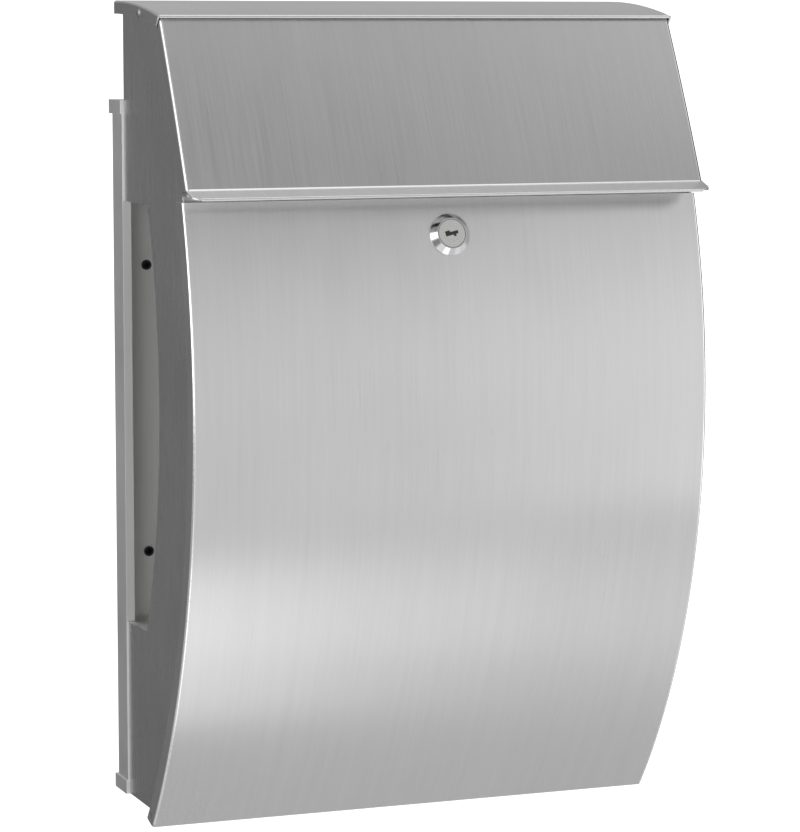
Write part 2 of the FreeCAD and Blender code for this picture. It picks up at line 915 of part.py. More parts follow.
def lip_corner_outline(sketch):
    """What is cut off the lip's end to round its corner."""
    tip = lip_y - cosine(d.lip_slope) * d.lip_length
    inner = flap_half - d.lip_corner
    points = [
        (flap_half, tip + d.lip_corner),
        (flap_half + d.sheet, tip + d.lip_corner),
        (flap_half + d.sheet, tip - d.sheet),
        (inner, tip - d.sheet),
        (inner, tip),
    ]
    return outline(sketch, points, {4: (d.lip_corner, 1)})


def hem_notch_outline(sketch):
    """The hem's under layer, which stops short of the lip's rounded corners."""
    near = d.lip_length - d.lip_hem - d.sheet
    far = d.lip_length + d.sheet
    low = d.sheet * 3
    points = [
        on_lip(near, d.sheet),
        on_lip(far, d.sheet),
        on_lip(far, low),
        on_lip(near, low),
    ]
    return outline(sketch, points)


def flap():
    """Hood flap over the mail slot; it hangs on two pins and lifts outward."""
    body = new_body("flap")
    pad(body, flap_sheet_outline(sketch_on(body, "YZ_Plane")), flap_half * 2, True)
    sketch = flap_side_outline(sketch_on(body, "YZ_Plane", flap_half - d.sheet))
    flange = pad(body, sketch, d.sheet)
    doc.recompute()
    both = mirror(body, [flange])
    folds = edges_where(both, is_flap_fold)
    fillet(body, both, folds, d.flap_bend)
    sketch = lip_corner_outline(sketch_on(body, "XY_Plane", lip_z - d.lip_length))
    corner = body.newObject("PartDesign::Pocket", "lip_corner")
    corner.Profile = sketch
    corner.setExpression("Length", (d.lip_length * 2).text)
    corner.Reversed = True
    doc.recompute()
    mirror(body, [corner])
    start = d.lip_corner - flap_half
    sketch = hem_notch_outline(sketch_on(body, "YZ_Plane", start))
    notch = pocket(body, sketch, d.lip_corner * 2, both_ways=False)
    mirror(body, [notch])
    return keep(body, "flap")


def is_flap_fold(edge):
    """The outer edges where the face meets its side flanges."""
    box = edge.BoundBox
    outside = abs(abs(box.XMin) - flap_half.value) < 0.01 and box.XLength < 0.01
    if not outside or box.ZLength < 60:
        return False
    return box.YMin < lip_y.value + 0.1 and box.YMax < foot_y.value + 2


def flap_pivot_pins():
    """Headed pins fixed in the side panels, on which the flap's flanges turn."""
    reach = flap_half - side_half
    inside = d.sheet + d.flap_head_height
    profile = [
        (ZERO, -inside),
        (d.flap_pin_head, -inside),
        (d.flap_pin_head, -d.sheet),
        (d.flap_pin, -d.sheet),
        (d.flap_pin, reach),
        (ZERO, reach),
    ]
    items = []
    for side in (-1, 1):
        pin = turned("flap_pivot_pin", profile)
        items.append(put(pin, side_half * side, pin_y, pin_z, ALONG_WALL, 90 * side))
    group("flap_pivot_pins", items)


def block(name, low, high):
    """A box between two corners."""
    item = doc.addObject("Part::Box", name)
    for side, start, end in zip(("Length", "Width", "Height"), low, high):
        item.setExpression(side, (end - start).text)
    return put(item, *low)


def flap_bumpers():
    """Rubber blocks on the sill that the closed flap rests against."""
    items = []
    for side in (-1, 1):
        middle = (inner_half - d.stop_inset) * side
        low = (middle - d.stop_width / 2, sill_front - d.stop_reach, sill_z)
        high = (middle + d.stop_width / 2, sill_front + d.stop_height, sill_z + d.stop_height)
        items.append(block("flap_bumper", low, high))
    group("flap_bumpers", items)


# --- Door --------------------------------------------------------------------------------


def door_block_outline(sketch):
    """Curved skin with the depth of its side flanges, before it is hollowed."""
    rear_radius = d.door_radius - d.door_flange
    tail = door_bottom + d.door_tail_up
    points = [
        (front(door_bottom, d.door_radius), door_bottom),
        (front(tail, rear_radius), tail),
        (front(door_top, rear_radius), door_top),
        (front(door_top, d.door_radius), door_top),
    ]
    return outline(sketch, points, {1: (rear_radius, -1), 3: (d.door_radius, 1)})


def door_hollow_outline(sketch):
    """Space behind the skin, stepped at the bottom where the hem doubles the sheet."""
    hem_radius = skin_radius - d.sheet
    hem_top = door_bottom + d.door_hem
    low = door_bottom - d.sheet
    high = door_top + d.sheet
    far = d.door_flange * 2
    points = [
        (front(low, hem_radius), low),
        (front(low, hem_radius) + far, low),
        (front(high, skin_radius) + far, high),
        (front(high, skin_radius), high),
        (front(hem_top, skin_radius), hem_top),
        (front(hem_top, hem_radius), hem_top),
    ]
    return outline(sketch, points, {3: (skin_radius, 1), 5: (hem_radius, 1)})


def door_return_outline(sketch):
    """Top return that stiffens the door's upper edge."""
    under = door_top - d.sheet
    rear_radius = d.door_radius - d.door_return
    mid_radius = d.door_radius - d.sheet / 2
    points = [
        (front(under, mid_radius), under),
        (front(under, rear_radius), under),
        (front(under, rear_radius), door_top),
        (front(door_top, mid_radius), door_top),
    ]
    return outline(sketch, points)


def door_corner_outline(sketch):
    """What is cut off a lower corner of the door to round it."""
    inner = half_width - d.door_corner
    points = [
        (inner, door_bottom),
        (inner, door_bottom - d.sheet),
        (half_width + d.sheet, door_bottom - d.sheet),
        (half_width + d.sheet, door_bottom + d.door_corner),
        (half_width, door_bottom + d.door_corner),
    ]
    return outline(sketch, points, {4: (d.door_corner, -1)})


def is_door_fold(edge):
    """The outer edges where the skin meets its side flanges."""
    box = edge.BoundBox
    outside = abs(abs(box.XMin) - half_width.value) < 0.01 and box.XLength < 0.01
    return outside and box.ZLength > 100 and box.YMin < -d.depth.value + 0.5


def door_panel():
    """Curved front door with side flanges, bottom hem and top return."""
    body = new_body("door_panel")
    pad(body, door_block_outline(sketch_on(body, "YZ_Plane")), d.width, True)
    sketch = door_hollow_outline(sketch_on(body, "YZ_Plane"))
    hollow = pocket(body, sketch, (half_width - d.sheet) * 2)
    fillet(body, hollow, edges_where(hollow, is_door_fold), d.edge_bend)
    sketch = door_return_outline(sketch_on(body, "YZ_Plane"))
    pad(body, sketch, (inner_half - d.sheet) * 2, True)
    sketch = sketch_on(body, "YZ_Plane")
    circle(sketch, (hinge_y, hinge_z), d.hinge_pin + d.run_clear)
    pocket(body, sketch, d.width + d.sheet)
    sketch = sketch_on(body, "XZ_Plane")
    sketch.AttachmentOffset = FreeCAD.Placement(
        FreeCAD.Vector(0, 0, 0), FreeCAD.Rotation(ACROSS, -lock_tilt.value)
    )
    sketch.setExpression(".AttachmentOffset.Rotation.Angle", f"{lock_tilt.text} * -1 deg")
    sketch.setExpression(".AttachmentOffset.Base.y", lock_z.text)
    sketch.setExpression(".AttachmentOffset.Base.z", (-lock_y).text)
    circle(sketch, (ZERO, ZERO), d.barrel + d.barrel_hole)
    pocket(body, sketch, d.door_flange)
    sketch = door_corner_outline(sketch_on(body, "XZ_Plane"))
    corner = pocket(body, sketch, d.depth * 2)
    mirror(body, [corner])
    return keep(body, "door_panel")


def door_hinge_pins():
    """Headed pins fixed in the side panels' ears, on which the door's flanges turn."""
    reach = half_width - side_half
    inside = d.sheet + d.hinge_head_height
    profile = [
        (ZERO, -inside),
        (d.hinge_head, -inside),
        (d.hinge_head, -d.sheet),
        (d.hinge_pin, -d.sheet),
        (d.hinge_pin, reach),
        (ZERO, reach),
    ]
    items = []
    for side in (-1, 1):
        pin = turned("door_hinge_pin", profile)
        items.append(put(pin, side_half * side, hinge_y, hinge_z, ALONG_WALL, 90 * side))
    group("door_hinge_pins", items)


def door_bumper(low, side):
    """Rubber strip on a side panel's front return, just short of the door's skin."""
    body = new_body("door_bumper")
    face_radius = skin_radius - d.bumper_gap
    high = low + d.bumper_length
    points = [
        (front(low, edge_radius), low),
        (front(high, edge_radius), high),
        (front(high, face_radius), high),
        (front(low, face_radius), low),
    ]
    arcs = {0: (edge_radius, -1), 2: (face_radius, 1)}
    inner = side_half - d.sheet - d.bumper_width
    start = inner if side > 0 else -(inner + d.bumper_width)
    pad(body, outline(sketch_on(body, "YZ_Plane", start), points, arcs), d.bumper_width)
    return body


def door_bumpers():
    items = []
    for side in (-1, 1):
        for low in (door_bottom + d.bumper_up, door_top - d.bumper_down):
            items.append(door_bumper(low, side))
    group("door_bumpers", items)


# --- Lock: each piece is drawn about its own Z axis, which points out of the door ----------


def put_on_lock(item, label):
    put(item, ZERO, lock_y, lock_z, ACROSS, as_size(90) - lock_tilt)
    return keep(item, label)


def lock_housing():
    """Bevelled collar and threaded barrel in one turned piece."""
    bore = d.plug_core + d.run_clear
    seat = d.plug_face + d.run_clear
    shoulder = d.collar_height - d.plug_drop - d.plug_face_depth - d.run_clear
    profile = [
        (bore, -d.barrel_length),
        (d.barrel, -d.barrel_length),
        (d.barrel, ZERO),
        (d.collar_base, ZERO),
        (d.collar_base, d.collar_rim),
        (d.collar_face, d.collar_height),
        (seat, d.collar_height),
        (seat, shoulder),
        (bore, shoulder),
    ]
    put_on_lock(turned("lock_housing", profile), "lock_housing")


def key_outline(sketch):
    """Keyway with one side ward."""
    half = d.key_length / 2
    thin = d.key_width / 2
    ward = d.key_length * 0.1
    points = [
        (-half, -thin),
        (ward, -thin),
        (ward, -thin - d.key_step),
        (ward * 3, -thin - d.key_step),
        (ward * 3, -thin),
        (half, -thin),
        (half, thin),
        (-ward, thin),
        (-ward, thin + d.key_step),
        (-half, thin + d.key_step),
    ]
    return outline(sketch, points)


def square_points(half):
    return [(-half, -half), (half, -half), (half, half), (-half, half)]


def lock_plug():
    """Turning core with the key's slot in its face and a square tang for the cam."""
    face = d.collar_height - d.plug_drop
    shoulder = face - d.plug_face_depth
    tail = -(d.barrel_length + d.plug_tail)
    profile = [
        (ZERO, tail),
        (d.plug_core, tail),
        (d.plug_core, shoulder),
        (d.plug_face, shoulder),
        (d.plug_face, face),
        (ZERO, face),
    ]
    body = turned("lock_plug", profile)
    sketch = outline(sketch_on(body, "XY_Plane", tail - d.cam_sheet), square_points(d.tang))
    pad(body, sketch, d.cam_sheet)
    sketch = sketch_on(body, "XY_Plane", face)
    sketch.setExpression(".AttachmentOffset.Rotation.Angle", f"{d.key_tilt.text} * 1 deg")
    pocket(body, key_outline(sketch), d.key_depth, both_ways=False)
    sketch = sketch_on(body, "XY_Plane", tail - d.cam_sheet)
    circle(sketch, (ZERO, ZERO), d.cam_screw)
    pocket(body, sketch, d.cam_screw_depth * 2)
    put_on_lock(body, "lock_plug")


def lock_nut():
    """Hexagon nut that clamps the barrel to the door's skin."""
    body = new_body("lock_nut")
    top = -(d.sheet + d.nut_seat)
    sketch = sketch_on(body, "XY_Plane", top - d.nut_height)
    corner = d.nut_flats / 2 / cosine(as_size(30))
    points = []
    for step in range(6):
        angle = as_size(30 + 60 * step)
        points.append((corner * cosine(angle), corner * sine(angle)))
    outline(sketch, points)
    circle(sketch, (ZERO, ZERO), d.barrel)
    pad(body, sketch, d.nut_height)
    put_on_lock(body, "lock_nut")


def lock_cam():
    """Flat latch arm; it points sideways when the lock is open and up when it is shut."""
    body = new_body("lock_cam")
    back = -(d.barrel_length + d.plug_tail + d.cam_sheet)
    sketch = sketch_on(body, "XY_Plane", back)
    half = d.cam_half
    nib = half / 2
    points = [
        (ZERO, -half),
        (d.cam_length - nib, -half),
        (d.cam_length, -half + nib),
        (d.cam_length, half - nib),
        (d.cam_length - nib, half),
        (ZERO, half),
        (-half, ZERO),
    ]
    outline(sketch, points, {5: (half, 1), 6: (half, 1)})
    outline(sketch, square_points(d.tang + d.cam_fit))
    pad(body, sketch, d.cam_sheet)
    put_on_lock(body, "lock_cam")


def cam_fasteners():
    """Washer and screw that hold the cam on the plug's tang."""
    back = -(d.barrel_length + d.plug_tail + d.cam_sheet)
    under = back - d.washer_height
    washer = [
        (d.cam_screw, under),
        (d.washer, under),
        (d.washer, back),
        (d.cam_screw, back),
    ]
    put_on_lock(turned("cam_washer", washer), "cam_washer")
    head = under - d.cam_screw_height
    end = back + d.cam_screw_depth
    screw = [
        (ZERO, head),
        (d.cam_screw_head, head),
        (d.cam_screw_head, under),
        (d.cam_screw, under),
        (d.cam_screw, end),
        (ZERO, end),
    ]
    put_on_lock(turned("cam_screw", screw), "cam_screw")


# --- Build, check and write ----------------------------------------------------------------


def build():
    side_panel("left_side_panel", -1)
    side_panel("right_side_panel", 1)
    floor_tray()
    newspaper_tube()
    upper_back_panel()
    slot_rail()
    rear_pan()
    rail("pan_top_rail", pan_high + d.rail_height, pan_high)
    rail("pan_bottom_rail", pan_low - d.rail_height, pan_low)
    wall_spacers()
    roof_cover()
    roof_rivets()
    flap()
    flap_pivot_pins()
    flap_bumpers()
    door_panel()
    door_hinge_pins()
    door_bumpers()
    lock_housing()
    lock_plug()
    lock_nut()
    lock_cam()
    cam_fasteners()
    doc.recompute()


def check():
    for item in doc.Objects:
        if "Invalid" in item.State or "Error" in item.State:
            raise RuntimeError(f"{item.Name} failed: {item.State}")
    for item in parts:
        if item.Shape.isNull() or not item.Shape.isValid():
            raise RuntimeError(f"{item.Label} has no valid shape")


def write():
    os.makedirs("parts", exist_ok=True)
    for item in parts:
        item.Shape.exportStep(f"parts/{item.Label}.step")
        print(f"{item.Label}: {len(item.Shape.Solids)} solids, {item.Shape.Volume:.0f} mm3")


build()
check()
write()
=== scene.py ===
"""Looks of the wall mounted mailbox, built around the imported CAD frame.

Metres, in the CAD's frame: +Z is up, the wall is at y = 0 and the front faces -Y.
"""
import json
import math

import bpy
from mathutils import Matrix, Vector


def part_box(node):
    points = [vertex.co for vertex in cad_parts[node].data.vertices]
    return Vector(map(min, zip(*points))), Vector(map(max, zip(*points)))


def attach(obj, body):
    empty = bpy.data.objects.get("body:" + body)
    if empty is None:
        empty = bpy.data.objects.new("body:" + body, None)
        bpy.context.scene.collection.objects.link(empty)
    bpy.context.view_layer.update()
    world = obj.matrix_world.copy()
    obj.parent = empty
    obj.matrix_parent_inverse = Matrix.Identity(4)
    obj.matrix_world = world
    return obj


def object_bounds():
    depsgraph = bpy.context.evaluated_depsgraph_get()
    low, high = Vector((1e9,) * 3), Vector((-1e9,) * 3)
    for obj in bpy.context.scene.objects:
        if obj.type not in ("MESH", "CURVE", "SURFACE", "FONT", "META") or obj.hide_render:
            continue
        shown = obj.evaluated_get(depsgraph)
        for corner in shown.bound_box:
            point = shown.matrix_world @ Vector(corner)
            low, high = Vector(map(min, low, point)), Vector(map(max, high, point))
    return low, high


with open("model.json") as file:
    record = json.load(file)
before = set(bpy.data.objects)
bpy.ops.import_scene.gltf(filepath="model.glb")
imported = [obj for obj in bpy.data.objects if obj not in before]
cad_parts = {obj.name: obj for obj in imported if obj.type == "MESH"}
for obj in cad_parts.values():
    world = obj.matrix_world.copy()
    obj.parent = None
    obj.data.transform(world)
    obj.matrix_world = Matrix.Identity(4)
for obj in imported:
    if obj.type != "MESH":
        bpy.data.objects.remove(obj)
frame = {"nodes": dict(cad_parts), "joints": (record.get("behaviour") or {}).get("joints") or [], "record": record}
cad_low, cad_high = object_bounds()
NODES = frame["nodes"]
JOINTS = {joint["name"]: joint for joint in frame["joints"]}
LOCK_CENTRE = Vector(JOINTS["lock_turn"]["pos_m"])
LOCK_AXIS = Vector(JOINTS["lock_turn"]["axis"]).normalized()
MM = 0.001


# --- Camera --------------------------------------------------------------------------------

CAMERA_PLACE = Vector((-0.8188, -2.2184, 0.2660))
CAMERA_YAW = math.radians(20.95)  # to the right of straight at the wall
CAMERA_PITCH = math.radians(6.72)  # down
CAMERA_LENS = 144.4


def make_camera():
    data = bpy.data.cameras.new("camera")
    data.lens = CAMERA_LENS
    data.clip_end = 50
    camera = bpy.data.objects.new("camera", data)
    level = math.cos(CAMERA_PITCH)
    aim = Vector(
        (math.sin(CAMERA_YAW) * level, math.cos(CAMERA_YAW) * level, -math.sin(CAMERA_PITCH))
    )
    camera.location = CAMERA_PLACE
    camera.rotation_mode = "QUATERNION"
    camera.rotation_quaternion = aim.to_track_quat("-Z", "Y")
    bpy.context.scene.collection.objects.link(camera)
    bpy.context.scene.camera = camera


# --- Node helpers --------------------------------------------------------------------------


def map_range(tree, source, low, high, start=0.3, end=0.7):
    node = tree.nodes.new("ShaderNodeMapRange")
    node.inputs["From Min"].default_value = start
    node.inputs["From Max"].default_value = end
    node.inputs["To Min"].default_value = low
    node.inputs["To Max"].default_value = high
    tree.links.new(source, node.inputs["Value"])
    return node.outputs["Result"]


def maths(tree, operation, first, second):
    node = tree.nodes.new("ShaderNodeMath")
    node.operation = operation
    for socket, value in zip(node.inputs, (first, second)):
        if isinstance(value, (int, float)):
            socket.default_value = value
        else:
            tree.links.new(value, socket)
    return node.outputs[0]


def smooth_step(tree, source, start, end):
    """0 before start and 1 after end, with a smooth rise; start may be the larger."""
    node = tree.nodes.new("ShaderNodeMapRange")
    node.interpolation_type = "SMOOTHSTEP"
    rising = start < end
    node.inputs["From Min"].default_value = min(start, end)
    node.inputs["From Max"].default_value = max(start, end)
    node.inputs["To Min"].default_value = 0 if rising else 1
    node.inputs["To Max"].default_value = 1 if rising else 0
    tree.links.new(source, node.inputs["Value"])
    return node.outputs["Result"]


# --- Studio --------------------------------------------------------------------------------

FLOOR_DROP = 1.1  # the mailbox hangs this far above the floor
FLOOR_RADIUS = 1.1
# Soft surround, as (elevation in degrees, brightness)
SURROUND = [
    (-90, 0.44),
    (-75, 0.54),
    (-62, 0.66),
    (-48, 0.78),
    (-36, 0.76),
    (-24, 0.66),
    (-12, 0.62),
    (0, 0.70),
    (12, 0.59),
    (24, 0.38),
    (36, 0.38),
    (44, 0.38),
    (52, 0.28),
    (60, 0.42),
    (70, 1.40),
    (90, 1.60),
]
WALL_SIDE_TOP = math.sin(math.radians(24))  # where the shade toward the wall ends
# Parts of the surround that are darker: the share of its brightness that is left there, and
# the part's limits as (axis of the direction, start, end), each a smooth rise from 0 to 1
DARKER = [
    (0.28, [("y", -0.1, 0.6), ("z", WALL_SIDE_TOP, 0.0)]),  # low toward the wall
    (0.04, [("x", 0.72, 0.86), ("z", -0.25, -0.10)]),  # a flag at the right
    (0.35, [("x", -0.62, -0.74), ("z", -0.10, -0.20), ("y", 0.1, -0.1)]),  # low at the left
]
# Parts that are brighter: the share added there, and the part's limits
BRIGHTER = [
    # A tall white panel at the left
    (2.4, [("x", -0.36, -0.50), ("y", 0.38, 0.14), ("z", -0.12, 0.0), ("z", 0.90, 0.80)]),
    # Above the wall side's shade, for the lip
    (0.2, [("y", 0.3, 0.5), ("z", 0.40, 0.55), ("z", 0.85, 0.70)]),
    # Low behind, at the right, for the roof
    (0.28, [("x", -0.1, 0.15), ("y", 0.3, 0.5), ("z", 0.0, 0.12), ("z", 0.50, 0.35)]),
]
BACKDROP_STRENGTH = 1.3


def region(tree, direction, limits):
    """1 where all the limits' ramps have risen, 0 where one of them hasn't."""
    inside = 1.0
    for axis, start, end in limits:
        rise = smooth_step(tree, direction[axis], start, end)
        inside = maths(tree, "MULTIPLY", inside, rise)
    return inside


def surround_strength(tree, direction):
    """The factor on the surround's brightness in a direction, from the parts above."""
    strength = 1.0
    for share, limits in DARKER:
        loss = maths(tree, "MULTIPLY", region(tree, direction, limits), 1 - share)
        strength = maths(tree, "MULTIPLY", strength, maths(tree, "SUBTRACT", 1.0, loss))
    for share, limits in BRIGHTER:
        gain = maths(tree, "MULTIPLY", region(tree, direction, limits), share)
        strength = maths(tree, "ADD", strength, gain)
    return strength


def make_surround():
    world = bpy.data.worlds.new("surround")
    bpy.context.scene.world = world
    world.use_nodes = True
    tree = world.node_tree
    tree.nodes.clear()
    link = tree.links.new
    coordinates = tree.nodes.new("ShaderNodeTexCoord")
    split = tree.nodes.new("ShaderNodeSeparateXYZ")
    link(coordinates.outputs["Generated"], split.inputs[0])
    height = tree.nodes.new("ShaderNodeMapRange")
    height.inputs["From Min"].default_value = -1
    link(split.outputs["Z"], height.inputs["Value"])
    ramp = tree.nodes.new("ShaderNodeValToRGB")
    ramp.color_ramp.interpolation = "B_SPLINE"
    elements = ramp.color_ramp.elements
    ends = {-90: elements[0], 90: elements[1]}
    for elevation, value in SURROUND:
        place = (math.sin(math.radians(elevation)) + 1) / 2
        element = ends.get(elevation) or elements.new(place)
        element.color = (value, value, value, 1)
    link(height.outputs["Result"], ramp.inputs["Fac"])
    direction = dict(zip("xyz", split.outputs))
    light = tree.nodes.new("ShaderNodeBackground")
    link(ramp.outputs["Color"], light.inputs["Color"])
    link(surround_strength(tree, direction), light.inputs["Strength"])
    backdrop = tree.nodes.new("ShaderNodeBackground")
    backdrop.inputs["Color"].default_value = (1, 1, 1, 1)
    backdrop.inputs["Strength"].default_value = BACKDROP_STRENGTH
    path = tree.nodes.new("ShaderNodeLightPath")
    choose = tree.nodes.new("ShaderNodeMixShader")
    link(path.outputs["Is Camera Ray"], choose.inputs["Fac"])
    link(light.outputs[0], choose.inputs[1])
    link(backdrop.outputs[0], choose.inputs[2])
    output = tree.nodes.new("ShaderNodeOutputWorld")
    link(choose.outputs[0], output.inputs["Surface"])


def softbox(name, azimuth, elevation, distance, width, height, radiance):
    """A soft light aimed at the mailbox; azimuth 0 is straight in front, + to the right."""
    data = bpy.data.lights.new(name, "AREA")
    data.shape = "RECTANGLE"
    data.size = width
    data.size_y = height
    data.energy = radiance * math.pi * width * height
    lamp = bpy.data.objects.new(name, data)
    turn, lift = math.radians(azimuth), math.radians(elevation)
    away = Vector(
        (math.sin(turn) * math.cos(lift), -math.cos(turn) * math.cos(lift), math.sin(lift))
    )
    centre = (cad_low + cad_high) / 2
    lamp.location = centre + away * distance
    lamp.rotation_mode = "QUATERNION"
    lamp.rotation_quaternion = (-away).to_track_quat("-Z", "Y")
    lamp.visible_camera = False
    bpy.context.scene.collection.objects.link(lamp)


# name: azimuth, elevation, distance, width, height, radiance
LIGHTS = {
    "key_right": (46, 4, 2.6, 1.0, 2.6, 1.05),
    "upper_right": (54, 48, 2.4, 0.8, 0.8, 0.5),
    "low_front": (-6, -50, 1.3, 0.5, 0.75, 0.85),
}


def make_lights():
    for name, values in LIGHTS.items():
        softbox(name, *values)


# --- Materials -----------------------------------------------------------------------------


def new_material(name):
    material = bpy.data.materials.new(name)
    material.use_nodes = True
    tree = material.node_tree
    return material, tree, tree.nodes["Principled BSDF"]


def add_node(tree, kind, **values):
    """A node with some of its inputs set by name; an input's spaces are written as _."""
    node = tree.nodes.new(kind)
    for key, value in values.items():
        node.inputs[key.replace("_", " ")].default_value = value
    return node


def stretched_noise(tree, scale, detail=3.0, roughness=0.55, place=None):
    """Noise in the CAD's frame, stretched by a different scale along each axis."""
    if place is None:
        place = add_node(tree, "ShaderNodeTexCoord").outputs["Object"]
    mapping = add_node(tree, "ShaderNodeMapping", Scale=scale)
    tree.links.new(place, mapping.inputs["Vector"])
    noise = add_node(tree, "ShaderNodeTexNoise", Scale=1.0, Detail=detail, Roughness=roughness)
    tree.links.new(mapping.outputs["Vector"], noise.inputs["Vector"])
    return noise.outputs["Fac"]


def scaled_colour(tree, colour, factor):
    """A colour multiplied by a grey factor."""
    node = tree.nodes.new("ShaderNodeVectorMath")
    node.operation = "SCALE"
    node.inputs[0].default_value = colour
    tree.links.new(factor, node.inputs["Scale"])
    return node.outputs["Vector"]


EDGE_RADIUS = 0.3 * MM
EDGE_MASK_RADIUS = 1.2 * MM
EDGE_MASK_DOTS = (0.80, 0.995)  # rounded normal against true normal: fully on an edge, not on one
BEVEL_SAMPLES = 4


def edge_mask(tree):
    """1 along edges and bends, 0 on flat metal."""
    bevel = add_node(tree, "ShaderNodeBevel", Radius=EDGE_MASK_RADIUS)
    bevel.samples = BEVEL_SAMPLES
    geometry = tree.nodes.new("ShaderNodeNewGeometry")
    dot = tree.nodes.new("ShaderNodeVectorMath")
    dot.operation = "DOT_PRODUCT"
    tree.links.new(bevel.outputs[0], dot.inputs[0])
    tree.links.new(geometry.outputs["Normal"], dot.inputs[1])
    return map_range(tree, dot.outputs["Value"], 1.0, 0.0, *EDGE_MASK_DOTS)


# Brushed grain, in noise cells per metre across and along the lines
FINE_CELLS = (1500, 16)
BROAD_CELLS = (190, 5)
CLOUD_CELLS = 7  # faint hand marks
FINE_SHADE = 0.045  # how far the fine lines change the colour, at contrast 1
BROAD_SHADE = 0.015
CLOUD_SHADE = 0.015
FINE_ROUGHNESS = 0.035
SMUDGE_ROUGHNESS = 0.025
WORN_POLISH = 0.08  # how much smoother worn edges are
BROAD_RELIEF = 0.6  # of the fine lines' relief
BRUSH_BUMP = 0.25
BRUSH_DEPTH = 0.05 * MM
ANISOTROPY = 0.75
TANGENT_TILT = 0.02  # keeps the tangent defined on faces square to it


def across_grain(across, cells):
    """The noise scale of lines that change mostly along one axis."""
    return [cells[0] if axis == across else cells[1] for axis in "XYZ"]


def varied(tree, source, spread, middle=1.0):
    """A source that wanders about a middle value by the spread."""
    return map_range(tree, source, middle - spread, middle + spread)


def brushed_steel(name, colour, roughness, across="X", contrast=1.0, wear_and_highlight=0.3):
    """Brushed stainless sheet: fine and broad lines that change only across the grain, faint
    hand marks, edges and bends painted brighter (partly real wear, partly a painted highlight),
    and highlights stretched across the grain."""
    material, tree, shader = new_material(name)
    fine = stretched_noise(tree, across_grain(across, FINE_CELLS))
    broad = stretched_noise(tree, across_grain(across, BROAD_CELLS), detail=2.0)
    cloud = stretched_noise(tree, [CLOUD_CELLS] * 3)
    on_edge = edge_mask(tree)

    shade = varied(tree, fine, FINE_SHADE * contrast)
    shade = maths(tree, "MULTIPLY", shade, varied(tree, broad, BROAD_SHADE))
    shade = maths(tree, "MULTIPLY", shade, varied(tree, cloud, CLOUD_SHADE))
    # Edges and bends are painted lighter: partly real wear, partly a painted highlight on the bends
    shade = maths(tree, "MULTIPLY", shade, map_range(tree, on_edge, 1.0, 1 + wear_and_highlight, 0.0, 1.0))
    tree.links.new(scaled_colour(tree, colour, shade), shader.inputs["Base Color"])

    rough = varied(tree, fine, FINE_ROUGHNESS, roughness)
    rough = maths(tree, "ADD", rough, varied(tree, cloud, SMUDGE_ROUGHNESS, 0.0))
    rough = maths(tree, "SUBTRACT", rough, maths(tree, "MULTIPLY", on_edge, WORN_POLISH))
    tree.links.new(rough, shader.inputs["Roughness"])
    shader.inputs["Metallic"].default_value = 1.0
    shader.inputs["Anisotropic"].default_value = ANISOTROPY
    tangent = tree.nodes.new("ShaderNodeCombineXYZ")
    for axis, socket in zip("XYZ", tangent.inputs):
        socket.default_value = 1.0 if axis == across else TANGENT_TILT
    tree.links.new(tangent.outputs[0], shader.inputs["Tangent"])

    bevel = add_node(tree, "ShaderNodeBevel", Radius=EDGE_RADIUS)
    bevel.samples = BEVEL_SAMPLES
    lines = maths(tree, "ADD", fine, maths(tree, "MULTIPLY", broad, BROAD_RELIEF))
    strength = BRUSH_BUMP * contrast
    bump = add_node(tree, "ShaderNodeBump", Strength=strength, Distance=BRUSH_DEPTH)
    tree.links.new(lines, bump.inputs["Height"])
    tree.links.new(bevel.outputs[0], bump.inputs["Normal"])
    tree.links.new(bump.outputs[0], shader.inputs["Normal"])
    return material


PLATED_CELLS = 900  # grain cells per metre of plated metal
TURNED_PITCH = 0.35 * MM  # between turning marks
TURNED_GRAIN = 0.15  # share of the plated grain among the marks
TURNED_SHADE = (0.93, 1.05)
TURNED_ROUGHNESS = (-0.04, 0.05)  # below and above the material's own
TURNED_WEAR = 1.1  # brightness of worn edges
TURNED_DEPTH = 0.02 * MM


def turning_marks(tree, place, grain):
    """Rings about the lock's axis, with some of the plated grain between them."""
    offset = tree.nodes.new("ShaderNodeVectorMath")
    offset.operation = "SUBTRACT"
    offset.inputs[1].default_value = LOCK_CENTRE
    tree.links.new(place, offset.inputs[0])
    cross = tree.nodes.new("ShaderNodeVectorMath")
    cross.operation = "CROSS_PRODUCT"
    cross.inputs[1].default_value = LOCK_AXIS
    tree.links.new(offset.outputs[0], cross.inputs[0])
    length = tree.nodes.new("ShaderNodeVectorMath")
    length.operation = "LENGTH"
    tree.links.new(cross.outputs[0], length.inputs[0])
    rings = tree.nodes.new("ShaderNodeTexNoise")
    rings.noise_dimensions = "1D"
    rings.inputs["Scale"].default_value = 1 / TURNED_PITCH
    rings.inputs["Detail"].default_value = 2
    tree.links.new(length.outputs["Value"], rings.inputs["W"])
    between = maths(tree, "MULTIPLY", grain, TURNED_GRAIN)
    return maths(tree, "ADD", rings.outputs["Fac"], between)


